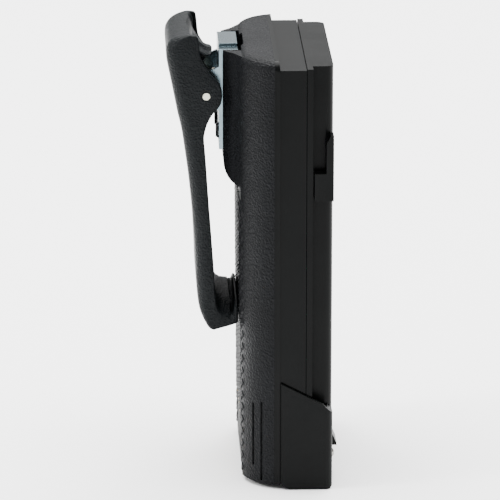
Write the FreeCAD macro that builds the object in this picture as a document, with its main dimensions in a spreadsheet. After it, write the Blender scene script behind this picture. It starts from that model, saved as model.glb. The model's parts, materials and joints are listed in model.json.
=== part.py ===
import FreeCAD, Part
import os
import Sketcher

# Rechargeable battery pack of a portable two-way radio, with a spring belt clip.
# Frame: +Z up, +X towards the radio, -X towards the belt, +Y across.
# The origin is at the middle of the bottom of the whole pack. Millimetres.

doc = FreeCAD.newDocument("radio_battery_pack")
sheet = doc.addObject("Spreadsheet::Sheet", "dims")

DRIVING = {
    # whole pack
    "pack_wide": 58,            # across the boot
    "pack_tall": 114.1,         # base to the top of the raised, grained back
    "pack_deep": 23.7,          # back plane to radio face
    "front_x": 20.4,            # radio face
    # mouldings
    "wall": 1.6,                # walls of the back shell
    "cover_wall": 2.3,          # front wall of the cover
    "rail_wall": 1.1,           # side walls of the cover between the rails
    "shell_foot": 1,            # underside of the shell above the base
    "side_inset": 0.4,          # grained side, in from the boot's side
    "smooth_inset": 0.5,        # smooth band, in from the grained side
    "raised_end_x": 6.7,        # where the raised, grained part ends
    "bevel_run": 0.3,           # slant of the drop along that end
    "top_step": 2.2,            # smooth top below the raised top
    "parting_x": 13.4,          # plane where shell and cover meet
    "corner_round": 12.5,       # big upright corners of the back
    "top_round": 2.6,           # edge of the raised top
    "back_draft": 0.6,          # the back plane's lean at the foot
    "draft_top": 73,            # height where the lean ends
    "fit_gap": 0.15,            # between pieces that sit together
    # boss that carries the clip
    "boss_rise": 4,             # out from the back plane
    "boss_half": 11,            # half its width at its face
    "boss_flare": 3.5,          # how much wider it gets part of the way back
    "boss_flare_at": 2.8,       # depth where it is that much wider
    "boss_root": 19,            # half its width where it meets the back
    "boss_down": 0.9,           # its top below the raised top
    "boss_long": 34.8,
    "boss_heel": 5.6,           # height of the curved underside
    "recess_deep": 1.15,        # the bracket's flange lies in this recess
    "slot_in": 2.6,             # hook slot, in from the boss's face
    "slot_wide": 2.1,
    "slot_deep": 4.2,
    "slot_play": 1,             # slot beyond each end of the bracket
    "slot_lift": 0.3,           # the bracket's flange ends above the slot's floor
    "notch_half": 6.1,
    "notch_wide": 0.7,
    # charger guides and contacts on the back
    "groove_wide": 0.5,
    "groove_deep": 0.8,
    "groove_a_x": -0.05,
    "groove_a_foot": 5.4,
    "groove_a_tall": 17,
    "groove_b_x": 2,
    "groove_b_foot": 1.7,
    "groove_b_tall": 21.5,
    "charge_pitch": 9.4,
    "charge_wide": 3.2,
    "charge_foot": 3.4,
    "charge_tall": 10.8,
    "charge_deep": 1,
    "charge_thick": 0.6,
    "charge_play": 0.3,         # beside each contact in its recess
    # cover, rails and hooks
    "cover_lift": 0.3,          # cover's top above the smooth top
    "flange_thick": 1.5,
    "rail_in": 4.4,             # rail face, in from the boot's side
    "hook_in": 1,               # hook's end, in from the boot's side
    "hook_down": 36.6,          # hook's underside below the raised top
    "hook_root_tall": 7.2,
    "hook_tall": 17.2,
    "hook_thick": 1.9,
    "hook_slant": 1.1,          # slant at the hook's tip
    "hook_root_deep": 4.9,
    "low_hook_foot": 11.5,
    "low_hook_tall": 3.6,
    "low_hook_in": 1.8,
    "cover_edge": 2.2,
    "label_wide": 38,
    "label_tall": 52,
    "label_down": 22,           # label's top below the raised top
    "label_thick": 0.2,
    "label_recess": 0.3,
    # boot
    "boot_back_x": 7,
    "boot_wall": 1.4,
    "boot_floor": 0.85,
    "boot_high": 28.8,
    "boot_bend_x": 18,
    "boot_bend_z": 23,
    "boot_front": 20.5,
    "boot_corner": 2,
    "boot_heel": 2.4,           # rounded corner at the back of the foot
    "boot_chamfer": 0.6,
    "boot_side_lift": 0.45,     # room above the boot's side walls
    "boot_front_lift": 0.3,     # room above the boot's front wall
    "tooth_out": 1.6,
    "tooth_top": 12.9,
    "tooth_tip": 9.1,
    "tooth_foot": 8.6,
    "tooth_wide": 7,
    "tooth_mid": 15.5,
    # radio contacts
    "stud_dia": 2.5,
    "stud_pitch": 14,
    "stud_z": 4.9,
    "stud_out": 1.3,
    "stud_dome": 0.6,
    "stud_play": 0.2,
    "block_past": 2.5,          # contact block beyond the outer studs
    "block_thick": 1.8,
    "block_tall": 4,
    # clip bracket
    "sheet_thick": 1,
    "plate_half": 10,
    "plate_long": 26.5,
    "tab_half": 6.4,
    "tab_rise": 0.8,
    "ear_thick": 1,
    # pivot
    "pin_out": 8.4,             # out from the back plane
    "pin_down": 12.2,           # below the raised top
    "pin_dia": 2,
    "pin_play": 0.05,
    # clip lever
    "lever_wide": 29,
    "lever_wall": 1.7,
    "toe_gap": 0.3,
    "lip_thick": 2.1,
    "lip_thin": 1,
    "lip_crown": 0.25,          # rise of the lip's rounded end
    "lip_in_z": -55.6,
    "lip_top_z": -54.9,
    "toe_front_z": -60.9,
    "tongue_tip_half": 2.5,
    # spring
    "wire_dia": 0.9,
    "coil_play": 0.6,
    "coil_half": 7,
    "coil_turns": 6.4,
    "spring_leg": 6,
    # bracket fasteners
    "screw_dia": 2.2,
    "screw_head": 4.4,
    "screw_head_tall": 0.8,
    "socket_dia": 1.1,
    "screw_dish": 0.5,          # how much narrower the head gets outwards
    "screw_long": 5,
    "screw_half": 6.5,
    "screw_down": 23.1,
    "insert_dia": 3.4,
    "insert_long": 4,
    # cells and what goes with them
    "cell_side_gap": 1.75,
    "cell_gap": 0.1,
    "cell_room": 1.2,           # left from the cells to the walls, back and front together
    "board_room": 17,
    "top_room": 3.6,
    "mid_gap": 0.6,
    "button_dia": 6,
    "button_tall": 0.4,
    "strap_thick": 0.25,
    "strap_wide": 6,
    "foam_gap": 0.3,
    "foam_play": 0.1,           # between the foam and what it pads
    "corner_clear": 2.4,        # what keeps flat pieces out of the round corners
    "board_thick": 1,
    "board_drop": 5.5,
    "board_in": 3,
    "board_deep": 11.6,
    "chip_out": 3,
    "chip_deep": 6.5,
    "chip_wide": 9.6,
    "chip_tall": 1.4,
    "chip_y": -13.2,
    "fuse_y": 4.8,
    "fuse_deep": 4.3,
    "fuse_wide": 10.8,
    "fuse_tall": 2.6,
    "bead_y": -12,
    "bead_deep": 2.2,
    "bead_wide": 3.6,
    "bead_tall": 3.2,
}

# corners of the lever's side outline, out from and up from the pin
LEVER_OUTLINE = {
    "jaw_top": (-2.1, 15.8),
    "jaw": (-1.9, 13.7),
    "throat": (-1.4, 9.2),
    "collar": (1.2, 5.5),
    "lobe_up": (3.5, 3.2),
    "lobe_rise": (4, 1.3),
    "lobe": (4.03, -0.3),
    "lobe_low": (3.1, -3.1),
    "lobe_end": (1.7, -4.6),
    "neck": (0.8, -6.2),
    "neck_low": (0.1, -7.7),
    "bay": (-0.4, -9.3),
    "bay_mid": (-0.65, -10.9),
    "arm_high": (-0.45, -14.1),
    "arm_mid": (0.2, -23.7),
    "arm_low": (1, -35),
    "arm_foot": (1.8, -46.4),
    "instep": (2.1, -53.5),
    "sole_in": (2.5, -55.1),
    "sole_low": (3.7, -56.4),
}
LEVER_BACK = {
    "toe_tip": (5, -61.7),
    "toe_low": (1.7, -62.8),
    "toe_ball": (-0.2, -61.6),
    "heel_low": (-1.2, -59.8),
    "heel": (-2, -57.4),
    "heel_high": (-2.6, -53.5),
    "calf": (-2.9, -48),
    "shin": (-3, -43.1),
    "shin_high": (-3.5, -35),
    "knee": (-4.05, -28.5),
    "thigh": (-4.8, -21),
    "hip_low": (-5.55, -15.5),
    "hip": (-6.4, -9.3),
    "waist": (-7.9, -3.2),
    "rump": (-9.1, 3.5),
    "rump_high": (-10.05, 8.6),
    "nape": (-10.3, 11.3),
    "nape_high": (-9.8, 13),
    "brow": (-8.5, 14.7),
    "brow_high": (-6.6, 15.7),
    "crown": (-4.35, 16.1),
}
LEVER_HOLLOW = {
    "hollow_end": (9, -8.6),
    "hollow_foot": (-3, -8.6),
    "hollow_low": (-5.8, -3.2),
    "hollow_back": (-7.1, 3.5),
    "hollow_nape": (-8.2, 9.6),
    "hollow_brow": (-7.4, 12.4),
    "hollow_crown": (-4.4, 13.8),
    "hollow_lid": (9, 13.8),
}
TONGUE = {
    "tip": (1.9, 8.3),
    "scoop_low": (0.7, 10.4),
    "scoop": (-0.5, 12.5),
    "scoop_high": (-1.6, 14.2),
    "scoop_rim": (-2.6, 15.3),
    "scoop_top": (-4.6, 15.9),
    "under_top": (-4.6, 13.6),
    "under_high": (-2.8, 12.7),
    "under": (-1.7, 10.6),
    "under_low": (-0.4, 8.9),
    "under_tip": (1.1, 7.5),
}
EAR = {
    "ear_top": (3.8, 6.9),
    "ear_brow": (1, 5.7),
    "ear_high": (-1, 2.4),
    "ear_back": (-2.4, 0.5),
    "ear_back_low": (-2.4, -0.5),
    "ear_low": (-1, -2.4),
    "ear_foot": (3.8, -5.2),
}
for stations in (LEVER_OUTLINE, LEVER_BACK, LEVER_HOLLOW, TONGUE, EAR):
    for name, (out, up) in stations.items():
        DRIVING[f"{name}_x"] = out
        DRIVING[f"{name}_z"] = up

# sizes that follow from the others, worked out in the sheet as well
DERIVED = {
    "back_x": "front_x - pack_deep",
    "pin_x": "back_x - pin_out",
    "pin_z": "pack_tall - pin_down",
    "boss_top": "pack_tall - boss_down",
    "boss_foot": "boss_top - boss_long",
    "hook_foot": "pack_tall - hook_down",
    "label_foot": "pack_tall - label_down - label_tall",
    "screw_z": "pack_tall - screw_down",
}

for line, (name, value) in enumerate({**DRIVING, **DERIVED}.items(), start=1):
    sheet.set(f"A{line}", f"={value}" if name in DERIVED else str(value))
    sheet.setAlias(f"A{line}", name)
doc.recompute()


def size(text):
    """Value of a formula in the sheet's names."""
    return float(sheet.evalExpression(named(text)))


def named(text):
    """Put the sheet's name in front of every driving dimension in a formula."""
    out = ""
    word = ""
    for letter in text + " ":
        if letter.isalnum() or letter == "_":
            word += letter
            continue
        out += ("dims." + word if word in DRIVING or word in DERIVED else word) + letter
        word = ""
    return out.strip()


# places that several pieces share
BACK = "back_x"
SIDE = "(pack_wide / 2 - side_inset)"
SMOOTH = f"({SIDE} - smooth_inset)"
SMOOTH_TOP = "(pack_tall - top_step)"
RAIL = "(pack_wide / 2 - rail_in)"
IN_BACK = f"({BACK} + back_draft + wall)"
IN_HALF = f"({SMOOTH} - wall)"
IN_ROUND = "(corner_round - wall - back_draft)"
IN_FOOT = "(shell_foot + wall)"
IN_TOP = f"({SMOOTH_TOP} - wall)"
IN_FRONT = "(front_x - cover_wall)"
COVER_X = "(parting_x + fit_gap)"
FLANGE_X = f"({COVER_X} + flange_thick)"
BOSS = f"({BACK} - boss_rise)"
PLATE = f"({BOSS} - sheet_thick)"
BOOT_IN = "(pack_wide / 2 - boot_wall)"
REBATE = f"({BOOT_IN} - fit_gap)"
BOOT_FALL = "((boot_high - boot_bend_z) / (boot_bend_x - boot_back_x))"
APRON_FALL = "((boot_bend_z - boot_front) / (front_x - boot_bend_x))"
CELLS_ACROSS, LAYERS = 3, 2
CELL_ACROSS = f"((2 * {IN_HALF} - 2 * cell_side_gap) / {CELLS_ACROSS})"
CELL_DIA = f"(min({CELL_ACROSS}; {IN_FRONT} - {IN_BACK} - cell_room))"
CELL_LONG = f"(({IN_TOP} - {IN_FOOT} - board_room - top_room - mid_gap) / 2)"
CELL_X = f"(({IN_BACK} + {IN_FRONT}) / 2)"
CELL_PITCH = f"({CELL_DIA} + cell_gap)"
CELL_FOOT = f"({IN_FOOT} + board_room)"
EAR_IN = "(plate_half - ear_thick)"
LEVER_IN = "(lever_wide / 2 - lever_wall)"
OVER = 5                       # how far a cutting sketch reaches past what it cuts
CHARGE_STEPS = (-1.5, -0.5, 0.5, 1.5)    # charge contacts, in pitches from the middle
STUD_STEPS = (-1, 0, 1)                  # radio contacts, in pitches from the middle
HEEL_ANGLES = range(15, 91, 15)          # points along the boss's curved underside
CORNER_ANGLES = range(0, 91, 10)         # points along the cavity's round corners
SAME_PLACE = 0.05                        # how near counts as the same place
NO_LENGTH = 0.01                         # shorter than this counts as no length
START, END, CENTRE = 1, 2, 3             # a sketch's names for the points of a piece
ORIGIN, LEVEL_LINE, UPRIGHT_LINE = -1, -1, -2
TO_RADIO = FreeCAD.Vector(1, 0, 0)
Z_TO_Y = FreeCAD.Rotation(TO_RADIO, -90)


def corner_y(x):
    """Half the shell's width at a place on its big round corners."""
    return (f"({SIDE} - corner_round"
            f" + sqrt(corner_round ^ 2 - ({BACK} + corner_round - ({x})) ^ 2))")


def corner_x(y):
    """Depth of the shell's outside at a place across its big round corners."""
    return (f"({BACK} + corner_round"
            f" - sqrt(corner_round ^ 2 - ({y} - {SIDE} + corner_round) ^ 2))")


def from_pin(stations):
    """Outline points of a set of places measured from the pin."""
    return [(f"pin_x + {name}_x", f"pin_z + {name}_z") for name in stations]


def bind(thing, prop, text):
    """Tie one property of an object to a formula of the sheet."""
    thing.setExpression(prop, named(text))


def origin_plane(body, role):
    """The body's own origin plane with this role."""
    return next(item for item in body.Origin.OriginFeatures if item.Role == role)


def new_body(name):
    """A PartDesign body, which becomes one sub-part."""
    body = doc.addObject("PartDesign::Body", name)
    body.Label = name
    return body


def new_sketch(body, name, role, offset):
    """An empty sketch on one of the body's planes, moved along its normal."""
    sketch = body.newObject("Sketcher::SketchObject", f"{body.Label}_{name}")
    sketch.AttachmentSupport = (origin_plane(body, role), [""])
    sketch.MapMode = "FlatFace"
    if offset:
        bind(sketch, "AttachmentOffset.Base.z", offset)
    return sketch


def hold_point(sketch, piece, end, place):
    """Constrain one point of the sketch to a pair of formulas."""
    for axis, line, text in (("X", UPRIGHT_LINE, place[0]), ("Y", LEVEL_LINE, place[1])):
        value = size(text)
        if abs(value) < NO_LENGTH / 2:
            sketch.addConstraint(Sketcher.Constraint("PointOnObject", piece, end, line))
            continue
        rule = Sketcher.Constraint("Distance" + axis, ORIGIN, START, piece, end, value)
        index = sketch.addConstraint(rule)
        bind(sketch, f"Constraints[{index}]", text)


def outline(body, name, role, points, offset=""):
    """A closed outline of straight lines through the given pairs of formulas."""
    sketch = new_sketch(body, name, role, offset)
    places = [FreeCAD.Vector(size(x), size(y), 0) for x, y in points]
    count = len(points)
    for index in range(count):
        start, end = places[index], places[(index + 1) % count]
        sketch.addGeometry(Part.LineSegment(start, end), False)
    for index in range(count):
        joint = Sketcher.Constraint("Coincident", index, END, (index + 1) % count, START)
        sketch.addConstraint(joint)
    for index, place in enumerate(points):
        hold_point(sketch, index, START, place)
    return sketch


def circles(body, name, role, centres, radius, offset=""):
    """Equal circles at pairs of formulas."""
    sketch = new_sketch(body, name, role, offset)
    for index, (x, y) in enumerate(centres):
        middle = FreeCAD.Vector(size(x), size(y), 0)
        ring = Part.Circle(middle, FreeCAD.Vector(0, 0, 1), size(radius))
        sketch.addGeometry(ring, False)
        rule = Sketcher.Constraint("Radius", index, size(radius))
        bind(sketch, f"Constraints[{sketch.addConstraint(rule)}]", radius)
        hold_point(sketch, index, CENTRE, (x, y))
    return sketch


def mirrored_y(points):
    """Points of one half, followed by their mirror images in the second number."""
    return points + [(x, "-(" + y + ")") for x, y in reversed(points)]


def pad(body, name, sketch, length, midplane=False, reverse=False):
    """Add material along a sketch's normal."""
    feature = body.newObject("PartDesign::Pad", f"{body.Label}_{name}")
    feature.Profile = sketch
    bind(feature, "Length", length)
    feature.Midplane = midplane
    feature.Reversed = reverse
    doc.recompute()
    return feature


def cut(body, name, sketch, length, midplane=False, reverse=False):
    """Take material away along a sketch's normal, and make sure that some went."""
    doc.recompute()
    before = body.Shape.Volume
    feature = body.newObject("PartDesign::Pocket", f"{body.Label}_{name}")
    feature.Profile = sketch
    bind(feature, "Length", length)
    feature.Midplane = midplane
    feature.Reversed = reverse
    doc.recompute()
    if not body.Shape.Volume < before:
        raise RuntimeError(f"{feature.Label} cut nothing")
    return feature


def round_edges(body, name, wanted, radius, kind="PartDesign::Fillet"):
    """Fillet or chamfer the edges of the body's tip that a test picks."""
    doc.recompute()
    base = body.Tip
    edges = base.Shape.Edges
    names = [f"Edge{i}" for i, edge in enumerate(edges, start=1) if wanted(edge)]
    if not names:
        raise RuntimeError(f"{body.Label}: no edge for {name}")
    feature = body.newObject(kind, f"{body.Label}_{name}")
    feature.Base = (base, names)
    bind(feature, "Radius" if kind.endswith("Fillet") else "Size", radius)
    doc.recompute()
    return feature


def near(value, text):
    """Whether a coordinate lies at a formula's value."""
    return abs(value - size(text)) < SAME_PLACE


def upright(edge):
    """Whether an edge runs along Z."""
    box = edge.BoundBox
    return box.ZLength > SAME_PLACE and box.XLength < NO_LENGTH and box.YLength < NO_LENGTH


def boot_rebate(body, side):
    """Recess in the side of a moulding where the boot's side wall sits."""
    top_back = "boot_high + boot_side_lift"
    top_front = f"boot_bend_z + boot_side_lift - {BOOT_FALL} * {OVER}"
    points = [
        ("boot_back_x - fit_gap", f"-{OVER}"),
        ("boot_back_x - fit_gap", top_back),
        (f"boot_bend_x + {OVER}", top_front),
        (f"boot_bend_x + {OVER}", f"-{OVER}"),
    ]
    word = "near" if side > 0 else "far"
    sketch = outline(body, f"rebate_{word}_outline", "XZ_Plane", points, f"{side} * {REBATE}")
    cut(body, f"rebate_{word}", sketch, f"{OVER}", reverse=side > 0)


# ---- back shell ---------------------------------------------------------------

def make_back_shell():
    body = new_body("back_shell")
    plan = mirrored_y([(f"{BACK} + corner_round + wall", SIDE), (BACK, SIDE)])
    pad(body, "block", outline(body, "plan", "XY_Plane", plan, "shell_foot"),
        "pack_tall - shell_foot")
    round_edges(body, "corners",
                lambda e: upright(e) and near(e.BoundBox.XMin, BACK), "corner_round")
    round_edges(body, "top_edge",
                lambda e: near(e.BoundBox.ZMin, "pack_tall")
                and not near(e.BoundBox.XMin, f"{BACK} + corner_round + wall"), "top_round")
    end = [
        ("raised_end_x - bevel_run", f"pack_tall + {OVER}"),
        ("raised_end_x - bevel_run", "pack_tall"),
        ("raised_end_x", SMOOTH_TOP),
        ("raised_end_x", f"shell_foot - {OVER}"),
        (f"{BACK} + corner_round + wall + {OVER}", f"shell_foot - {OVER}"),
        (f"{BACK} + corner_round + wall + {OVER}", f"pack_tall + {OVER}"),
    ]
    cut(body, "end", outline(body, "end_side", "XZ_Plane", end), f"pack_wide + {OVER}", True)
    band = mirrored_y([("parting_x", SMOOTH), ("raised_end_x - wall", SMOOTH)])
    pad(body, "band", outline(body, "band_plan", "XY_Plane", band, "shell_foot"),
        f"{SMOOTH_TOP} - shell_foot")
    lean = [
        (f"{BACK} - {OVER}", f"-{OVER}"),
        (f"{BACK} + back_draft * (1 + {OVER} / draft_top)", f"-{OVER}"),
        (BACK, "draft_top"),
        (f"{BACK} - {OVER}", "draft_top"),
    ]
    cut(body, "draft", outline(body, "draft_side", "XZ_Plane", lean), f"pack_wide + {OVER}", True)

    boss = mirrored_y([
        (BOSS, "boss_half"),
        (f"{BOSS} + boss_flare_at", "boss_half + boss_flare"),
        (f"{corner_x('boss_root')} + wall / 2", "boss_root"),
    ])
    pad(body, "boss", outline(body, "boss_plan", "XY_Plane", boss, "boss_foot"),
        "boss_top - boss_foot")
    heel = [(f"{BACK} - fit_gap", "boss_foot")] + [
        (f"{BACK} - fit_gap - (boss_rise - fit_gap) * sin({angle})",
         f"boss_foot + boss_heel * (1 - cos({angle}))")
        for angle in HEEL_ANGLES
    ]
    under = heel + [
        (f"{BOSS} - {OVER}", "boss_foot + boss_heel"),
        (f"{BOSS} - {OVER}", f"boss_foot - {OVER}"),
        (f"{BACK} - fit_gap", f"boss_foot - {OVER}"),
    ]
    cut(body, "boss_heel", outline(body, "boss_heel_side", "XZ_Plane", under),
        f"pack_wide + {OVER}", True)

    recess = [
        (f"{BOSS} - {OVER}", "boss_top - recess_deep"),
        (f"{BOSS} + slot_in + slot_wide", "boss_top - recess_deep"),
        (f"{BOSS} + slot_in + slot_wide", f"pack_tall + {OVER}"),
        (f"{BOSS} - {OVER}", f"pack_tall + {OVER}"),
    ]
    cut(body, "recess", outline(body, "recess_side", "XZ_Plane", recess),
        "2 * (plate_half + fit_gap)", True)
    slot = [
        (f"{BOSS} + slot_in", "boss_top - slot_deep"),
        (f"{BOSS} + slot_in + slot_wide", "boss_top - slot_deep"),
        (f"{BOSS} + slot_in + slot_wide", f"pack_tall + {OVER}"),
        (f"{BOSS} + slot_in", f"pack_tall + {OVER}"),
    ]
    cut(body, "hook_slot", outline(body, "hook_slot_side", "XZ_Plane", slot),
        "2 * (plate_half + slot_play)", True)
    notch = [
        (f"{BOSS} + slot_in + slot_wide / 2", "boss_top - slot_deep"),
        (f"{BOSS} + slot_in + slot_wide + notch_wide", "boss_top - slot_deep"),
        (f"{BOSS} + slot_in + slot_wide + notch_wide", f"pack_tall + {OVER}"),
        (f"{BOSS} + slot_in + slot_wide / 2", f"pack_tall + {OVER}"),
    ]
    cut(body, "tool_notch", outline(body, "tool_notch_side", "XZ_Plane", notch),
        "2 * notch_half", True)

    bend = [
        (f"{IN_BACK} + {IN_ROUND} * (1 - sin({angle}))",
         f"{IN_HALF} - {IN_ROUND} * (1 - cos({angle}))")
        for angle in CORNER_ANGLES
    ]
    room = mirrored_y([(f"parting_x + {OVER}", IN_HALF)] + bend)
    cut(body, "cavity", outline(body, "cavity_plan", "XY_Plane", room, IN_FOOT),
        f"{IN_TOP} - {IN_FOOT}", reverse=True)
    for side in (1, -1):
        boot_rebate(body, side)
        word = "near" if side > 0 else "far"
        for groove in ("a", "b"):
            x = f"groove_{groove}_x"
            foot = f"groove_{groove}_foot"
            tall = f"groove_{groove}_tall"
            points = [
                (f"{x} - groove_wide / 2", foot),
                (f"{x} + groove_wide / 2", foot),
                (f"{x} + groove_wide / 2", f"{foot} + {tall}"),
                (f"{x} - groove_wide / 2", f"{foot} + {tall}"),
            ]
            sketch = outline(body, f"groove_{groove}_{word}_side", "XZ_Plane", points,
                             f"{side} * ({corner_y(x)} - groove_deep)")
            cut(body, f"groove_{groove}_{word}", sketch, "pack_wide", reverse=side > 0)
    for index, y in enumerate(charge_rows()):
        points = [
            (f"{y} - charge_wide / 2", "charge_foot"),
            (f"{y} + charge_wide / 2", "charge_foot"),
            (f"{y} + charge_wide / 2", "charge_foot + charge_tall"),
            (f"{y} - charge_wide / 2", "charge_foot + charge_tall"),
        ]
        sketch = outline(body, f"charge_{index}_face", "YZ_Plane", points,
                         f"{BACK} + back_draft + charge_deep")
        cut(body, f"charge_{index}", sketch, "pack_deep", reverse=False)
    holes = [("-screw_half", "screw_z"), ("screw_half", "screw_z")]
    sketch = circles(body, "insert_holes_face", "YZ_Plane", holes, "insert_dia / 2",
                     f"{BOSS} - {OVER}")
    cut(body, "insert_holes", sketch, f"insert_long + fit_gap + {OVER}", reverse=True)
    return body


def charge_rows():
    """Where the charge contacts sit across the back."""
    return [f"({step} * charge_pitch)" for step in CHARGE_STEPS]


# ---- front cover --------------------------------------------------------------

def hook_points(foot, root_tall, tall):
    """Side outline of one hook that points up, with its root."""
    return [
        ("front_x - hook_root_deep", foot),
        ("front_x", foot),
        ("front_x", f"{foot} + {tall}"),
        ("front_x - hook_thick + hook_slant", f"{foot} + {tall}"),
        ("front_x - hook_thick", f"{foot} + {tall} - 2 * hook_slant"),
        ("front_x - hook_thick", f"{foot} + {root_tall}"),
        ("front_x - hook_root_deep", f"{foot} + {root_tall}"),
    ]


def make_front_cover():
    body = new_body("front_cover")
    plan = mirrored_y([
        (COVER_X, SMOOTH),
        (FLANGE_X, SMOOTH),
        (FLANGE_X, RAIL),
        ("front_x", RAIL),
    ])
    pad(body, "block", outline(body, "plan", "XY_Plane", plan, "shell_foot"),
        f"{SMOOTH_TOP} + cover_lift - shell_foot")
    round_edges(body, "front_edges",
                lambda e: upright(e) and near(e.BoundBox.XMin, "front_x"),
                "cover_edge")
    room = mirrored_y([
        (f"{COVER_X} - {OVER}", IN_HALF),
        (f"{FLANGE_X} - rail_wall", IN_HALF),
        (f"{FLANGE_X} - rail_wall", f"{RAIL} - rail_wall"),
        (IN_FRONT, f"{RAIL} - rail_wall"),
    ])
    cut(body, "cavity", outline(body, "cavity_plan", "XY_Plane", room, IN_FOOT),
        f"{IN_TOP} - {IN_FOOT}", reverse=True)
    apron = [
        ("front_x - boot_wall - fit_gap", f"shell_foot - {OVER}"),
        ("front_x - boot_wall - fit_gap",
         f"boot_front + boot_front_lift + {APRON_FALL} * (boot_wall + fit_gap)"),
        (f"front_x + {OVER}", f"boot_front + boot_front_lift - {APRON_FALL} * {OVER}"),
        (f"front_x + {OVER}", f"shell_foot - {OVER}"),
    ]
    cut(body, "apron", outline(body, "apron_side", "XZ_Plane", apron), "pack_wide", True)
    for side in (1, -1):
        word = "near" if side > 0 else "far"
        boot_rebate(body, side)
        high = hook_points("hook_foot", "hook_root_tall", "hook_tall")
        sketch = outline(body, f"hook_{word}_side", "XZ_Plane", high,
                         f"{side} * ({RAIL} - rail_wall / 2)")
        pad(body, f"hook_{word}", sketch, "rail_in - hook_in + rail_wall / 2",
            reverse=side < 0)
    for side in (1, -1):
        word = "near" if side > 0 else "far"
        low = [
            (f"{FLANGE_X} - fit_gap", "low_hook_foot"),
            ("front_x - boot_wall - fit_gap", "low_hook_foot"),
            ("front_x - boot_wall - fit_gap", "low_hook_foot + low_hook_tall"),
            (f"{FLANGE_X} - fit_gap", "low_hook_foot + low_hook_tall"),
        ]
        sketch = outline(body, f"low_hook_{word}_side", "XZ_Plane", low,
                         f"{side} * ({RAIL} - rail_wall / 2)")
        pad(body, f"low_hook_{word}", sketch, "rail_in - low_hook_in + rail_wall / 2 - fit_gap",
            reverse=side < 0)
    label = [
        ("-label_wide / 2", "label_foot"),
        ("label_wide / 2", "label_foot"),
        ("label_wide / 2", "label_foot + label_tall"),
        ("-label_wide / 2", "label_foot + label_tall"),
    ]
    sketch = outline(body, "label_face", "YZ_Plane", label, "front_x - label_recess")
    cut(body, "label_recess", sketch, f"{OVER}", reverse=True)
    sketch = circles(body, "stud_holes_face", "YZ_Plane", stud_places(),
                     "stud_dia / 2 + stud_play", f"front_x + {OVER}")
    cut(body, "stud_holes", sketch, f"cover_wall + 2 * {OVER}")
    return body


def stud_places():
    """Centres of the radio contacts, across and up."""
    return [(f"{step} * stud_pitch", "stud_z") for step in STUD_STEPS]


# ---- boot ---------------------------------------------------------------------

def make_base_boot():
    body = new_body("base_boot")
    profile = [
        ("boot_back_x", "0"),
        ("front_x - boot_chamfer", "0"),
        ("front_x", "boot_chamfer"),
        ("front_x", "boot_front"),
        ("boot_bend_x", "boot_bend_z"),
        ("boot_back_x", "boot_high"),
    ]
    pad(body, "block", outline(body, "side", "XZ_Plane", profile), "pack_wide", True)
    round_edges(body, "heel",
                lambda e: near(e.BoundBox.XMin, "boot_back_x")
                and near(e.BoundBox.XMax, "boot_back_x") and near(e.BoundBox.ZMax, "0"),
                "boot_heel")
    room = [
        (f"boot_back_x - {OVER}", "boot_floor"),
        ("front_x - boot_wall", "boot_floor"),
        ("front_x - boot_wall", f"boot_high + {OVER}"),
        (f"boot_back_x - {OVER}", f"boot_high + {OVER}"),
    ]
    cut(body, "cavity", outline(body, "cavity_side", "XZ_Plane", room), f"2 * {BOOT_IN}", True)
    round_edges(body, "corners",
                lambda e: upright(e) and near(e.BoundBox.XMin, "front_x")
                and near(abs(e.BoundBox.YMin), "pack_wide / 2"), "boot_corner")
    for side in (1, -1):
        word = "near" if side > 0 else "far"
        tooth = [
            ("front_x - boot_wall / 2", "tooth_top"),
            ("front_x", "tooth_top"),
            ("front_x + tooth_out", "tooth_tip"),
            ("front_x + tooth_out", "tooth_foot"),
            ("front_x - boot_wall / 2", "tooth_foot"),
        ]
        sketch = outline(body, f"tooth_{word}_side", "XZ_Plane", tooth,
                         f"{side} * (tooth_mid - tooth_wide / 2)")
        pad(body, f"tooth_{word}", sketch, "tooth_wide", reverse=side < 0)
    sketch = circles(body, "stud_holes_face", "YZ_Plane", stud_places(),
                     "stud_dia / 2 + stud_play", f"front_x + {OVER}")
    cut(body, "stud_holes", sketch, f"boot_wall + {OVER} + fit_gap")
    return body


# ---- belt clip ----------------------------------------------------------------

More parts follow.
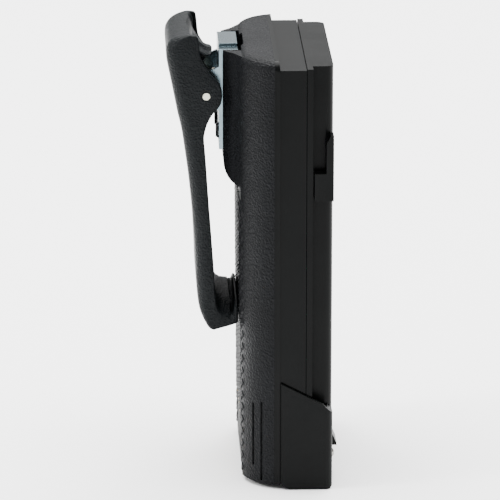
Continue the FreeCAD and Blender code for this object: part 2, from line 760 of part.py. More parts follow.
def make_clip_bracket():
    body = new_body("clip_bracket")
    top = "(boss_top - recess_deep + fit_gap)"
    face = f"({PLATE} - fit_gap / 2)"
    back = f"({BOSS} - fit_gap / 2)"
    hook_x = f"({BOSS} + slot_in + fit_gap)"
    hook_end = f"({hook_x} + sheet_thick)"
    profile = [
        (face, "boss_top - plate_long"),
        (back, "boss_top - plate_long"),
        (back, top),
        (hook_x, top),
        (hook_x, "boss_top - slot_deep + slot_lift"),
        (hook_end, "boss_top - slot_deep + slot_lift"),
        (hook_end, f"{top} + sheet_thick"),
        (face, f"{top} + sheet_thick"),
    ]
    pad(body, "strip", outline(body, "side", "XZ_Plane", profile), "2 * plate_half", True)
    tab = [
        (face, top),
        (hook_end, top),
        (hook_end, f"{top} + sheet_thick + tab_rise"),
        (face, f"{top} + sheet_thick + tab_rise"),
    ]
    pad(body, "tab", outline(body, "tab_side", "XZ_Plane", tab), "2 * tab_half", True)
    under = [
        (back, f"{top} - sheet_thick / 2"),
        (hook_x, f"{top} - sheet_thick / 2"),
        (hook_x, f"{top} + tab_rise"),
        (back, f"{top} + tab_rise"),
    ]
    cut(body, "tab_under", outline(body, "tab_under_side", "XZ_Plane", under),
        "2 * (tab_half - sheet_thick)", True)
    for side in (1, -1):
        word = "near" if side > 0 else "far"
        sketch = outline(body, f"ear_{word}_side", "XZ_Plane", from_pin(EAR),
                         f"{side} * {EAR_IN}")
        pad(body, f"ear_{word}", sketch, "ear_thick", reverse=side < 0)
    pin_hole = circles(body, "pin_hole_side", "XZ_Plane", [("pin_x", "pin_z")],
                       "pin_dia / 2 + pin_play / 2")
    cut(body, "pin_hole", pin_hole, "lever_wide", True)
    holes = [("-screw_half", "screw_z"), ("screw_half", "screw_z")]
    sketch = circles(body, "screw_holes_face", "YZ_Plane", holes, "screw_dia / 2 + fit_gap",
                     f"{PLATE} - {OVER}")
    cut(body, "screw_holes", sketch, f"sheet_thick + 2 * {OVER}", reverse=True)
    return body


def make_clip_lever():
    body = new_body("clip_lever")
    reach = f"({BACK} - toe_gap)"
    toe = [
        (f"{reach} - lip_thick", "pin_z + sole_low_z"),
        (f"{reach} - lip_thick", "pin_z + lip_in_z"),
        (f"{reach} - lip_thin", "pin_z + lip_top_z"),
        (f"{reach} - lip_thin / 2", "pin_z + lip_top_z + lip_crown"),
        (reach, "pin_z + lip_top_z - lip_thin / 2"),
        (reach, "pin_z + toe_front_z"),
    ]
    walls = from_pin(LEVER_OUTLINE) + toe + from_pin(LEVER_BACK)
    pad(body, "side", outline(body, "side_outline", "XZ_Plane", walls), "lever_wide", True)
    cut(body, "hollow", outline(body, "hollow_side", "XZ_Plane", from_pin(LEVER_HOLLOW)),
        f"2 * {LEVER_IN}", True)
    pad(body, "tongue", outline(body, "tongue_side", "XZ_Plane", from_pin(TONGUE)),
        f"2 * {LEVER_IN} + lever_wall / 2", True)
    for side in (1, -1):
        word = "far" if side > 0 else "near"
        trim = [
            (f"{side} * tongue_tip_half", f"pin_z + tip_z - {OVER}"),
            (f"{side} * {LEVER_IN}", f"pin_z + tip_z - {OVER}"),
            (f"{side} * {LEVER_IN}", "pin_z + scoop_high_z"),
            (f"{side} * tongue_tip_half", "pin_z + tip_z"),
        ]
        sketch = outline(body, f"trim_{word}_face", "YZ_Plane", trim, "pin_x + lobe_x")
        cut(body, f"trim_{word}", sketch, "lobe_x - scoop_top_x")
    pin_hole = circles(body, "pin_hole_side", "XZ_Plane", [("pin_x", "pin_z")],
                       "pin_dia / 2 + pin_play")
    cut(body, "pin_hole", pin_hole, f"lever_wide + {OVER}", True)
    return body


def make_clip_pin():
    pin = doc.addObject("Part::Cylinder", "clip_pin")
    bind(pin, "Radius", "pin_dia / 2")
    bind(pin, "Height", "lever_wide")
    pin.Placement = FreeCAD.Placement(FreeCAD.Vector(), Z_TO_Y)
    bind(pin, "Placement.Base.x", "pin_x")
    bind(pin, "Placement.Base.y", "-lever_wide / 2")
    bind(pin, "Placement.Base.z", "pin_z")
    return pin


def make_clip_spring():
    """Torsion spring round the pin: one wire of a leg, the coil and another leg."""
    wire_r = size("wire_dia / 2")
    coil_r = size("pin_dia / 2 + coil_play + wire_dia / 2")
    long = size("2 * coil_half")
    leg = size("spring_leg")
    helix = Part.makeHelix(long / size("coil_turns"), long, coil_r)
    turns = helix.Edges[0]
    first = turns.valueAt(turns.FirstParameter)
    last = turns.valueAt(turns.LastParameter)
    out_of_first = turns.tangentAt(turns.FirstParameter) * -leg
    out_of_last = turns.tangentAt(turns.LastParameter) * leg
    path = Part.Wire([
        Part.LineSegment(first + out_of_first, first).toShape(),
        turns,
        Part.LineSegment(last, last + out_of_last).toShape(),
    ])
    section = Part.Wire(Part.makeCircle(wire_r, first + out_of_first, out_of_first))
    spring = doc.addObject("Part::Feature", "clip_spring")
    spring.Shape = path.makePipeShell([section], True, True)
    # the coil's own axis turns from Z to Y, so both legs point up
    start = FreeCAD.Vector(size("pin_x"), -long / 2, size("pin_z"))
    spring.Placement = FreeCAD.Placement(start, Z_TO_Y)
    return spring


def make_bracket_screws():
    solids = []
    for side in (-1, 1):
        y = side * size("screw_half")
        z = size("screw_z")
        face = size(f"{PLATE} - fit_gap / 2")
        head = Part.makeCone(size("screw_head / 2 - screw_dish"), size("screw_head / 2"),
                             size("screw_head_tall"),
                             FreeCAD.Vector(face - size("screw_head_tall"), y, z), TO_RADIO)
        shank = Part.makeCylinder(size("screw_dia / 2"), size("screw_long"),
                                  FreeCAD.Vector(face - size("fit_gap"), y, z), TO_RADIO)
        socket = Part.makeCylinder(size("socket_dia / 2"), size("screw_head_tall / 2"),
                                   FreeCAD.Vector(face - size("screw_head_tall"), y, z), TO_RADIO)
        solids.append(head.fuse(shank).cut(socket))
    screws = doc.addObject("Part::Feature", "bracket_screws")
    screws.Shape = Part.makeCompound(solids)
    return screws


def make_screw_inserts():
    solids = []
    for side in (-1, 1):
        start = FreeCAD.Vector(size(BOSS), side * size("screw_half"), size("screw_z"))
        outer = Part.makeCylinder(size("insert_dia / 2"), size("insert_long"), start, TO_RADIO)
        bore = Part.makeCylinder(size("screw_dia / 2"), size("insert_long"), start, TO_RADIO)
        solids.append(outer.cut(bore))
    inserts = doc.addObject("Part::Feature", "screw_inserts")
    inserts.Shape = Part.makeCompound(solids)
    return inserts


# ---- contacts -----------------------------------------------------------------

def make_radio_contacts():
    """Three domed studs that the radio's contacts press on."""
    radius = size("stud_dia / 2")
    dome = size("stud_dome")
    start = size("front_x - cover_wall")
    long = size("cover_wall + stud_out") - dome
    ball = (radius ** 2 + dome ** 2) / (2 * dome)
    solids = []
    for step in STUD_STEPS:
        place = FreeCAD.Vector(start, step * size("stud_pitch"), size("stud_z"))
        shank = Part.makeCylinder(radius, long + dome, place, TO_RADIO)
        cap = Part.makeSphere(ball, place + FreeCAD.Vector(long + dome - ball, 0, 0))
        solids.append(shank.common(cap.fuse(
            Part.makeCylinder(radius, long, place, TO_RADIO))))
    studs = doc.addObject("Part::Feature", "radio_contacts")
    studs.Shape = Part.makeCompound(solids)
    return studs


def make_contact_block():
    block = doc.addObject("Part::Box", "contact_block")
    bind(block, "Length", "block_thick")
    bind(block, "Width", "2 * (stud_pitch + block_past)")
    bind(block, "Height", "block_tall")
    bind(block, "Placement.Base.x", f"{IN_FRONT} - block_thick")
    bind(block, "Placement.Base.y", "-(stud_pitch + block_past)")
    bind(block, "Placement.Base.z", f"{IN_FOOT} + fit_gap")
    return block


def make_charge_contacts():
    """Four flat gold-plated contacts in their recesses, each with a raised bead at its head."""
    thick = size("charge_thick")
    floor = size(f"{BACK} + back_draft + charge_deep")
    wide = size("charge_wide - 2 * charge_play")
    foot = size("charge_foot + fit_gap")
    tall = size("charge_tall - 2 * fit_gap")
    solids = []
    for row in charge_rows():
        y = size(row)
        leaf = Part.makeBox(thick, wide, tall,
                            FreeCAD.Vector(floor - thick, y - wide / 2, foot))
        bead = Part.makeCylinder(thick, wide,
                                 FreeCAD.Vector(floor - thick, y - wide / 2, foot + tall - thick),
                                 FreeCAD.Vector(0, 1, 0))
        slab = Part.makeBox(2 * thick, wide, tall,
                            FreeCAD.Vector(floor - 2 * thick, y - wide / 2, foot))
        solids.append(leaf.fuse(bead.common(slab)))
    contacts = doc.addObject("Part::Feature", "charge_contacts")
    contacts.Shape = Part.makeCompound(solids)
    return contacts


# ---- inside -------------------------------------------------------------------

def make_cell(number):
    column = number % CELLS_ACROSS - (CELLS_ACROSS - 1) / 2
    layer = number // CELLS_ACROSS
    foot = f"{CELL_FOOT} + {layer} * ({CELL_LONG} + mid_gap)"
    parts = []
    for word, radius, tall, lift in (
            ("can", f"{CELL_DIA} / 2", f"{CELL_LONG} - button_tall", "0"),
            ("button", "button_dia / 2", "button_tall * 2", f"{CELL_LONG} - 2 * button_tall")):
        piece = doc.addObject("Part::Cylinder", f"cell_{number + 1}_{word}")
        bind(piece, "Radius", radius)
        bind(piece, "Height", tall)
        bind(piece, "Placement.Base.x", CELL_X)
        bind(piece, "Placement.Base.y", f"{column} * {CELL_PITCH}")
        bind(piece, "Placement.Base.z", f"{foot} + {lift}")
        parts.append(piece)
    cell = doc.addObject("Part::Fuse", f"cell_{number + 1}")
    cell.Base = parts[0]
    cell.Tool = parts[1]
    return cell


def make_box(name, low, lengths):
    """A plain block from its low corner and its three lengths."""
    block = doc.addObject("Part::Box", name)
    for prop, text in zip(("Length", "Width", "Height"), lengths):
        bind(block, prop, text)
    for axis, text in zip("xyz", low):
        bind(block, f"Placement.Base.{axis}", text)
    return block


def make_inside():
    """Straps, spacer, foam, board and sensors round the cells."""
    cells_top = f"({CELL_FOOT} + 2 * {CELL_LONG} + mid_gap)"
    flat_x = f"({CELL_X} - {CELL_DIA} / 2 + corner_clear)"
    flat_deep = f"({CELL_DIA} - corner_clear - fit_gap)"
    flat_half = f"({RAIL} - rail_wall - foam_gap)"
    foam_half = f"({RAIL} - 2 * rail_wall)"
    board_z = f"({CELL_FOOT} - board_drop)"
    board_x = f"({IN_BACK} + board_in)"
    part_x = f"({board_x} + chip_out)"
    strap_x = f"({CELL_X} - strap_wide / 2)"
    return [
        make_box("top_strap", (strap_x, f"-{CELL_PITCH}", cells_top),
                 ("strap_wide", CELL_PITCH, "strap_thick")),
        make_box("bottom_strap", (strap_x, "0", f"{CELL_FOOT} - strap_thick"),
                 ("strap_wide", CELL_PITCH, "strap_thick")),
        make_box("cell_spacer",
                 (flat_x, f"-{flat_half}", f"{CELL_FOOT} + {CELL_LONG} + fit_gap / 2"),
                 (flat_deep, f"2 * {flat_half}", "mid_gap - fit_gap")),
        make_box("foam_pad_top",
                 (flat_x, f"-{flat_half}", f"{cells_top} + strap_thick + foam_play"),
                 (flat_deep, f"2 * {flat_half}", "top_room - strap_thick - 2 * foam_play")),
        make_box("foam_pad_front",
                 (f"{CELL_X} + {CELL_DIA} / 2 + foam_play", f"-{foam_half}",
                  f"{CELL_FOOT} + foam_gap"),
                 (f"{IN_FRONT} - {CELL_X} - {CELL_DIA} / 2 - 2 * foam_play",
                  f"2 * {foam_half}", f"2 * {CELL_LONG}")),
        make_box("protection_board", (board_x, f"-{flat_half}", board_z),
                 ("board_deep", f"2 * {flat_half}", "board_thick")),
        make_box("control_chip", (part_x, "chip_y", f"{board_z} - chip_tall"),
                 ("chip_deep", "chip_wide", "chip_tall")),
        make_box("thermal_fuse", (part_x, "fuse_y", f"{board_z} + board_thick"),
                 ("fuse_deep", "fuse_wide", "fuse_tall")),
        make_box("thermistor", (part_x, "bead_y", f"{board_z} + board_thick"),
                 ("bead_deep", "bead_wide", "bead_tall")),
        make_box("rating_label",
                 ("front_x - label_recess", "-label_wide / 2 + fit_gap",
                  "label_foot + fit_gap"),
                 ("label_thick", "label_wide - 2 * fit_gap", "label_tall - 2 * fit_gap")),
    ]


pieces = [
    make_back_shell(),
    make_front_cover(),
    make_base_boot(),
    make_clip_bracket(),
    make_clip_lever(),
    make_clip_pin(),
    make_clip_spring(),
    make_bracket_screws(),
    make_screw_inserts(),
    make_radio_contacts(),
    make_contact_block(),
    make_charge_contacts(),
]
pieces += [make_cell(number) for number in range(CELLS_ACROSS * LAYERS)]
pieces += make_inside()
doc.recompute()

for thing in doc.Objects:
    if "Invalid" in thing.State or "Error" in thing.State:
        raise RuntimeError(f"{thing.Label} did not compute: {thing.State}")
for piece in pieces:
    shape = piece.Shape
    if shape.isNull() or not shape.isValid():
        raise RuntimeError(f"{piece.Label} has no valid shape")

os.makedirs("parts", exist_ok=True)
for piece in pieces:
    piece.Shape.exportStep(f"parts/{piece.Label}.step")
    box = piece.Shape.BoundBox
    print(f"{piece.Label:18s} solids {len(piece.Shape.Solids)}"
          f" volume {piece.Shape.Volume:9.1f}"
          f" x {box.XMin:6.2f} {box.XMax:6.2f} y {box.YMin:6.2f} {box.YMax:6.2f}"
          f" z {box.ZMin:6.2f} {box.ZMax:6.2f}")
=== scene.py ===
import json
import math
import random
import bmesh
import bpy
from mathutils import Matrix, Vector


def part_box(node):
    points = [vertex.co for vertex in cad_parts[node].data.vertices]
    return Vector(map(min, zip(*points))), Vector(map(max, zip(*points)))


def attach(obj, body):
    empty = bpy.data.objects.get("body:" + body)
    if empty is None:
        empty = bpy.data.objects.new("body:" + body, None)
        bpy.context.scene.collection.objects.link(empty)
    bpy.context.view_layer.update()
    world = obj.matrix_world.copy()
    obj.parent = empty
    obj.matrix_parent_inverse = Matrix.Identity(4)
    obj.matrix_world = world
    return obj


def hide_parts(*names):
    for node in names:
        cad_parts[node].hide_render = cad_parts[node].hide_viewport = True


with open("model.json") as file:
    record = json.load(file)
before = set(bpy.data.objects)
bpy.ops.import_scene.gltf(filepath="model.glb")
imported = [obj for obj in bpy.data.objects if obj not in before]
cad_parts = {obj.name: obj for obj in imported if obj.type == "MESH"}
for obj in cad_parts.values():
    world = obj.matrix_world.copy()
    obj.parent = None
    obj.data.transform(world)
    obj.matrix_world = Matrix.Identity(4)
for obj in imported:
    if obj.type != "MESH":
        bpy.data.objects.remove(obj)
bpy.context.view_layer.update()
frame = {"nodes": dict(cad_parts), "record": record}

# Battery pack of a portable two-way radio with a spring belt clip, as a visual model.
# +Z up the pack, +X towards the radio, -X towards the belt, +Y across. Metres.

MM = 0.001
rng = random.Random(7)


# ---- shared places, read from the CAD model -------------------------------------

def low(node, axis):
    """Lowest value of a CAD node along an axis, in millimetres."""
    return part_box(node)[0][axis] / MM


def high(node, axis):
    """Highest value of a CAD node along an axis, in millimetres."""
    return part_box(node)[1][axis] / MM


X, Y, Z = 0, 1, 2
HINGE = frame["record"]["behaviour"]["joints"][0]["pos_m"]
PIN_X, PIN_Z = HINGE[0] / MM, HINGE[2] / MM
BOSS_RISE = 4.0                  # how far the clip's boss stands out from the back
BACK_X = low("back_shell", X) + BOSS_RISE
LEVER_HALF = high("clip_lever", Y)


# ---- materials -------------------------------------------------------------------

PATCH = 18                       # size of the broad patches of tone
PATCH_SHARE, FINE_SHARE = 0.55, 0.45
TONE_LOW, TONE_HIGH = 0.3, 0.7   # where the noise starts and ends its change of tone
ROUGH_SWING = 0.06
GRAIN_EDGE = 0.05                # half the strip over which the grain ends
LEVEL = 0.5                      # height of a surface without grain
WEAR_SIZE, WEAR_MOST = 5, 0.5
WEAR_LOW, WEAR_HIGH = 0.56, 0.74
SCRATCH_SIZE, SCRATCH_LONG = 1.2, 14
SCRATCH_TURN = (0.3, 0.5, 0.2)
SCRATCH_LOW, SCRATCH_HIGH = 0.55, 0.62
COAT_ROUGH = 0.15

def linear(hex_colour):
    """An sRGB hex colour as linear RGBA."""
    channels = [int(hex_colour[i:i + 2], 16) / 255 for i in (0, 2, 4)]
    return tuple(c / 12.92 if c <= 0.04045 else ((c + 0.055) / 1.055) ** 2.4
                 for c in channels) + (1.0,)


def node(tree, kind, settings=None, **inputs):
    """Add one shader node: its properties, then its inputs as values or links."""
    made = tree.nodes.new("ShaderNode" + kind)
    for name, value in (settings or {}).items():
        setattr(made, name, value)
    for name, value in inputs.items():
        socket = made.inputs[int(name[1:])] if name[0] == "i" and name[1:].isdigit() \
            else made.inputs[name.replace("_", " ")]
        if hasattr(value, "is_output"):
            tree.links.new(value, socket)
        else:
            socket.default_value = value
    return made


def ramp(tree, factor, start, end):
    """A factor stretched from start..end to 0..1."""
    return node(tree, "MapRange", i0=factor, i1=start, i2=end, i3=0.0, i4=1.0).outputs[0]


def mix(tree, factor, a, b):
    """One colour mixed into another."""
    made = node(tree, "Mix", {"data_type": "RGBA"}, i0=factor)
    for socket, value in ((made.inputs[6], a), (made.inputs[7], b)):
        if hasattr(value, "is_output"):
            tree.links.new(value, socket)
        else:
            socket.default_value = value
    return made.outputs[2]


def blend_value(tree, factor, a, b):
    """A number that goes from a to b with a factor."""
    return node(tree, "MapRange", i0=factor, i1=0.0, i2=1.0, i3=a, i4=b).outputs[0]


def surface(slot, dark, light, rough, metal=0.0, grain=0.4, depth=0.02, wear=None,
            stretch=(1, 1, 1), smooth_past=None, rough_smooth=0.35, smooth_dark=None,
            smooth_light=None, scratches=0.0, specular=0.5, cells=False, clear=0.0):
    """A procedural material: colour and roughness that vary, with grain and fine scratches.

    grain is the size of the texture and depth its height, both in millimetres.
    smooth_past is the X in millimetres beyond which the moulding has no grain.
    """
    material = bpy.data.materials.new(slot)
    material.use_nodes = True
    tree = material.node_tree
    shader = tree.nodes["Principled BSDF"]
    place = node(tree, "TexCoord").outputs["Object"]
    stretched = node(tree, "Mapping", Vector=place, Scale=stretch).outputs[0]
    broad = node(tree, "TexNoise", Vector=place, Scale=1 / (PATCH * MM), Detail=3.0,
                 Roughness=0.6).outputs[0]
    if cells:
        fine = node(tree, "TexVoronoi", {"feature": "SMOOTH_F1"}, Vector=stretched,
                    Scale=1 / (grain * MM), Smoothness=0.6).outputs[0]
    else:
        fine = node(tree, "TexNoise", Vector=stretched, Scale=1 / (grain * MM), Detail=3.0,
                    Roughness=0.55).outputs[0]
    part = node(tree, "Math", {"operation": "MULTIPLY"}, i0=fine, i1=FINE_SHARE).outputs[0]
    tone = node(tree, "Math", {"operation": "MULTIPLY_ADD"}, i0=broad, i1=PATCH_SHARE,
                i2=part).outputs[0]
    factor = ramp(tree, tone, TONE_LOW, TONE_HIGH)
    colour = mix(tree, factor, linear(dark), linear(light))
    roughness = blend_value(tree, factor, rough + ROUGH_SWING, rough - ROUGH_SWING)
    height = fine
    if smooth_past is not None:
        along = node(tree, "SeparateXYZ", Vector=place).outputs[0]
        past = ramp(tree, along, (smooth_past - GRAIN_EDGE) * MM,
                    (smooth_past + GRAIN_EDGE) * MM)
        plain = mix(tree, ramp(tree, broad, TONE_LOW, TONE_HIGH), linear(smooth_dark),
                    linear(smooth_light))
        colour = mix(tree, past, colour, plain)
        roughness = node(tree, "Mix", {"data_type": "FLOAT"}, i0=past, i2=roughness,
                         i3=rough_smooth).outputs[0]
        height = node(tree, "Mix", {"data_type": "FLOAT"}, i0=past, i2=fine,
                      i3=LEVEL).outputs[0]
    if wear:
        rubbed = node(tree, "TexNoise", Vector=place, Scale=1 / (WEAR_SIZE * MM), Detail=5.0,
                      Roughness=0.7).outputs[0]
        amount = node(tree, "Math", {"operation": "MULTIPLY"},
                      i0=ramp(tree, rubbed, WEAR_LOW, WEAR_HIGH), i1=WEAR_MOST).outputs[0]
        colour = mix(tree, amount, colour, linear(wear))
    tree.links.new(colour, shader.inputs["Base Color"])
    tree.links.new(roughness, shader.inputs["Roughness"])
    shader.inputs["Metallic"].default_value = metal
    if not metal:
        shader.inputs["Specular IOR Level"].default_value = specular
    if clear:
        shader.inputs["Coat Weight"].default_value = clear
        shader.inputs["Coat Roughness"].default_value = COAT_ROUGH
    if scratches:
        turned = node(tree, "Mapping", Vector=place, Rotation=SCRATCH_TURN,
                      Scale=(1, 1, SCRATCH_LONG)).outputs[0]
        lines = node(tree, "TexNoise", Vector=turned, Scale=1 / (SCRATCH_SIZE * MM),
                     Detail=4.0).outputs[0]
        height = node(tree, "Mix", {"data_type": "FLOAT"}, i0=scratches, i2=height,
                      i3=ramp(tree, lines, SCRATCH_LOW, SCRATCH_HIGH)).outputs[0]
    bump = node(tree, "Bump", Height=height, Strength=1.0, Distance=depth * MM)
    tree.links.new(bump.outputs[0], shader.inputs["Normal"])
    return material


MATERIALS = {
    # spark-eroded grain on a polycarbonate blend; smooth beyond the raised part's rim
    "grained_shell": surface("grained_shell", "090a0b", "121315", 0.44, grain=0.5, depth=0.22,
                             cells=True, smooth_past=5.3, rough_smooth=0.34,
                             smooth_dark="050606", smooth_light="090a0a", specular=0.07),
    # satin polycarbonate blend
    "smooth_cover": surface("smooth_cover", "050606", "090a0a", 0.34, grain=0.25, depth=0.003,
                            scratches=0.1, specular=0.07),
    # the boot's nylon, slightly duller than the cover
    "boot_plastic": surface("boot_plastic", "070808", "0b0c0c", 0.42, grain=0.3, depth=0.008,
                            specular=0.07),
    # mild steel sheet with bright zinc plate
    "zinc_steel": surface("zinc_steel", "5c6b71", "7f9097", 0.26, metal=1.0, grain=0.5,
                          depth=0.006, stretch=(1, 1, 0.15), scratches=0.3),
    # glass-filled nylon, moulded with a fine grain
    "clip_nylon": surface("clip_nylon", "0a0c0e", "121516", 0.46, grain=0.45, depth=0.2,
                          cells=True, specular=0.09),
    # hardened steel pin with cut ends
    "pin_steel": surface("pin_steel", "b4b4a6", "d6d4c6", 0.34, metal=1.0, grain=0.3,
                         depth=0.004),
    # drawn spring wire, oiled
    "spring_steel": surface("spring_steel", "4c4a45", "6e6a60", 0.32, metal=1.0, grain=0.3,
                            depth=0.004),
    # zinc-plated screws
    "screw_steel": surface("screw_steel", "8b9094", "b0b5b8", 0.34, metal=1.0, grain=0.4,
                           depth=0.004),
    # turned brass inserts
    "insert_brass": surface("insert_brass", "a8843c", "c9a659", 0.3, metal=1.0, grain=0.3,
                            depth=0.004),
    # nickel-plated studs
    "nickel_contact": surface("nickel_contact", "85847f", "a5a49e", 0.22, metal=1.0, grain=0.4,
                              depth=0.002),
    # moulded nylon block
    "block_nylon": surface("block_nylon", "161616", "202020", 0.5, grain=0.4, depth=0.008),
    # thin gold plate over nickel
    "gold_contact": surface("gold_contact", "b8914a", "e0bd72", 0.24, metal=1.0, grain=0.5,
                            depth=0.003, wear="8d7a4e"),
    # shrink sleeve of the cells
    "cell_sleeve": surface("cell_sleeve", "1f6b4c", "2b8561", 0.3, grain=0.6, depth=0.004,
                           clear=0.3),
    # rolled nickel strip
    "nickel_strip": surface("nickel_strip", "a3a29c", "c2c1bb", 0.32, metal=1.0, grain=0.4,
                            depth=0.003, stretch=(1, 0.1, 1)),
    # pressed fibre sheet
    "insulator_paper": surface("insulator_paper", "b9a888", "cdbf9f", 0.8, grain=0.3,
                               depth=0.01),
    # closed-cell foam
    "foam": surface("foam", "1a1a1a", "2a2a2a", 0.9, grain=0.6, depth=0.08, cells=True),
    # glass laminate with green solder mask
    "circuit_board": surface("circuit_board", "0f4a26", "1a6335", 0.35, grain=0.8,
                             depth=0.004),
    # moulded epoxy
    "component_black": surface("component_black", "141414", "1e1e1e", 0.55, grain=0.3,
                               depth=0.006),
    # sleeved metal case
    "component_case": surface("component_case", "a5a59c", "bdbdb4", 0.45, grain=0.4,
                              depth=0.006),
    # blank printed film
    "label_film": surface("label_film", "3b3d3e", "46494a", 0.42, grain=0.5, depth=0.004,
                          scratches=0.2),
}
SLOTS = {part["node"]: part["material_slot"] for part in frame["record"]["subparts"]}


# ---- mesh helpers ----------------------------------------------------------------

MERGE = 0.002                    # points closer than this become one
FLAT = 0.6                       # degrees below which two faces count as one
SOFT_PAST = 32                   # degrees above which an edge of a moulding is rounded
SOFT_STEPS = 2

def new_object(name, mesh, slot):
    """Put a mesh into the scene with the material of a slot."""
    piece = bpy.data.objects.new(name, mesh)
    bpy.context.scene.collection.objects.link(piece)
    mesh.materials.clear()
    mesh.materials.append(MATERIALS[slot])
    return piece


def apply_modifiers(piece):
    """Replace the piece's mesh by what its modifiers make of it."""
    graph = bpy.context.evaluated_depsgraph_get()
    made = bpy.data.meshes.new_from_object(piece.evaluated_get(graph),
                                           preserve_all_data_layers=True, depsgraph=graph)
    piece.modifiers.clear()
    piece.data = made


def softened(name, width):
    """A copy of a CAD node with its sharp edges rounded off, which takes its place."""
    source = frame["nodes"][name]
    mesh = source.data.copy()
    form = bmesh.new()
    form.from_mesh(mesh)
    bmesh.ops.remove_doubles(form, verts=form.verts, dist=MERGE * MM)
    bmesh.ops.dissolve_limit(form, angle_limit=math.radians(FLAT), verts=form.verts,
                             edges=form.edges)
    bmesh.ops.recalc_face_normals(form, faces=form.faces)
    for face in form.faces:
        face.smooth = True
    form.to_mesh(mesh)
    form.free()
    piece = new_object(f"soft_{name}", mesh, SLOTS[name])
    piece.matrix_world = source.matrix_world.copy()
    bevel = piece.modifiers.new("edges", "BEVEL")
    bevel.width = width * MM
    bevel.segments = SOFT_STEPS
    bevel.limit_method = "ANGLE"
    bevel.angle_limit = math.radians(SOFT_PAST)
    bevel.use_clamp_overlap = True
    weighted = piece.modifiers.new("flat_faces", "WEIGHTED_NORMAL")
    weighted.weight = 100
    weighted.keep_sharp = False
    apply_modifiers(piece)
    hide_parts(name)
    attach(piece, "pack")


def through(points, steps):
    """A smooth open line through points, with a number of steps in each span."""
    line = []
    count = len(points)
    for i in range(count - 1):
        p0 = points[max(i - 1, 0)]
        p1, p2 = points[i], points[i + 1]
        p3 = points[min(i + 2, count - 1)]
        for k in range(steps):
            t = k / steps
            line.append(tuple(
                0.5 * (2 * b + (c - a) * t + (2 * a - 5 * b + 4 * c - d) * t * t
                       + (3 * b - a - 3 * c + d) * t ** 3)
                for a, b, c, d in zip(p0, p1, p2, p3)))
    return line + [points[-1]]


def spaced(line, count):
    """The same line with evenly spaced points."""
    lengths = [0.0]
    for a, b in zip(line, line[1:]):
        lengths.append(lengths[-1] + math.dist(a, b))
    out = []
    index = 0
    for k in range(count):
        target = lengths[-1] * k / (count - 1)
        while index < len(line) - 2 and lengths[index + 1] < target:
            index += 1
        span = lengths[index + 1] - lengths[index] or 1.0
        t = (target - lengths[index]) / span
        out.append(tuple(a + (b - a) * t for a, b in zip(line[index], line[index + 1])))
    return out


# ---- clip lever ------------------------------------------------------------------

# outline of the lever seen from its side, out and up from the pin, in millimetres
BACK_LINE = [(1.7, -62.85), (0.75, -62.5), (0.05, -61.7), (-0.8, -60.2), (-1.75, -58),
             (-2.3, -55.6), (-2.65, -52.5), (-2.85, -49), (-3.0, -44), (-3.45, -35.5),
             (-4.0, -28.8), (-4.75, -21.3), (-5.55, -15.2), (-6.4, -9.3), (-7.5, -4.4),
             (-8.4, 0.3), (-9.2, 4.4), (-9.8, 7.4), (-10.2, 9.6), (-10.28, 11.2), (-10.1, 12.7),
             (-9.4, 14.1), (-8.2, 15.1), (-6.6, 15.75), (-5.2, 16.05), (-4.3, 16.1)]
JAW_LINE = [(-4.3, 16.1), (-3.2, 16.0), (-2.35, 15.75), (-2.0, 14.9), (-1.75, 12.6),
            (-1.6, 10.9), (-1.3, 9.4)]
LOBE_LINE = [(-1.3, 9.4), (-0.3, 7.6), (1.1, 5.6), (2.4, 4.3), (3.4, 3.1), (3.95, 1.5),
             (4.06, -0.2), (3.75, -1.9)]
NECK_LINE = [(3.75, -1.9), (3.0, -3.2), (1.8, -4.5), (0.8, -6.1), (0.05, -7.8), (-0.4, -9.4),
             (-0.65, -10.9), (-0.6, -12.6), (-0.45, -14.1)]
ARM_LINE = [(-0.45, -14.1), (-0.1, -18.9), (0.2, -23.7), (0.55, -29), (1.0, -35), (1.5, -42),
            (1.85, -47.2), (2.05, -51.5), (2.3, -54.6), (2.9, -56.5), (4.0, -57.5), (5.2, -57.65)]
SCOOP_LINE = [(-4.3, 16.1), (-3.6, 15.95), (-2.95, 15.3), (-2.55, 14.2), (-2.0, 12.9),
              (-1.05, 11.4), (0.2, 10.05), (1.0, 9.35), (1.5, 8.95)]
HOLLOW_LINE = [(-7.5, 12.3), (-8.1, 9.8), (-7.6, 6.0), (-6.9, 2.0), (-5.9, -2.4), (-4.6, -6.6),
               (-3.6, -8.3), (-2.2, -9.6), (-1.0, -11.0), (-0.45, -14.1)]
LID_LINE = [(-4.6, 13.75), (-6.2, 13.3), (-7.5, 12.3)]
TOE_GAP = 0.3                    # between the closed toe and the back
LIP_REACH = BACK_X - TOE_GAP - PIN_X
LIP_LINE = [(LIP_REACH - 2.2, -57.65), (LIP_REACH - 2.05, -58.2), (LIP_REACH - 1.6, -58.6),
            (LIP_REACH - 1.2, -58.1), (LIP_REACH - 1.1, -56.9), (LIP_REACH - 1.0, -55.7),
            (LIP_REACH - 0.65, -54.95), (LIP_REACH - 0.2, -55.15),
            (LIP_REACH, -55.9), (LIP_REACH, -59.6), (LIP_REACH - 0.12, -60.75),
            (LIP_REACH - 0.7, -61.15), (5.6, -61.75), (3.6, -62.3), (1.7, -62.85)]
WALL = 1.7                       # thickness of the lever's side walls
RIM = 1.1                        # thickness of the tongue
NOSE, NOSE_SHARE = 0.35, 0.3     # how its rounded tip goes on past its end
ROUND_BACK = 3.0                 # rounded back edges
ROUND_FRONT = 0.35
FADE_FOOT, FADE_CROWN = 0.12, 0.06       # shares of the back over which that rounding fades
SIDE_STEPS = (0, 0.05, 0.18, 0.35, 0.7, 1.2)   # slices in from the lever's side
HOLLOW_STEPS = (0, 0.5, 1.2, 2.2)        # slices in from the hollow's side
WALL_EDGE = 0.02                 # the wall's last slice, before the hollow's side
MIDDLE_STEPS = 14
BORE_R, BORE_PAST, BORE_SIDES = 1.06, 4, 48
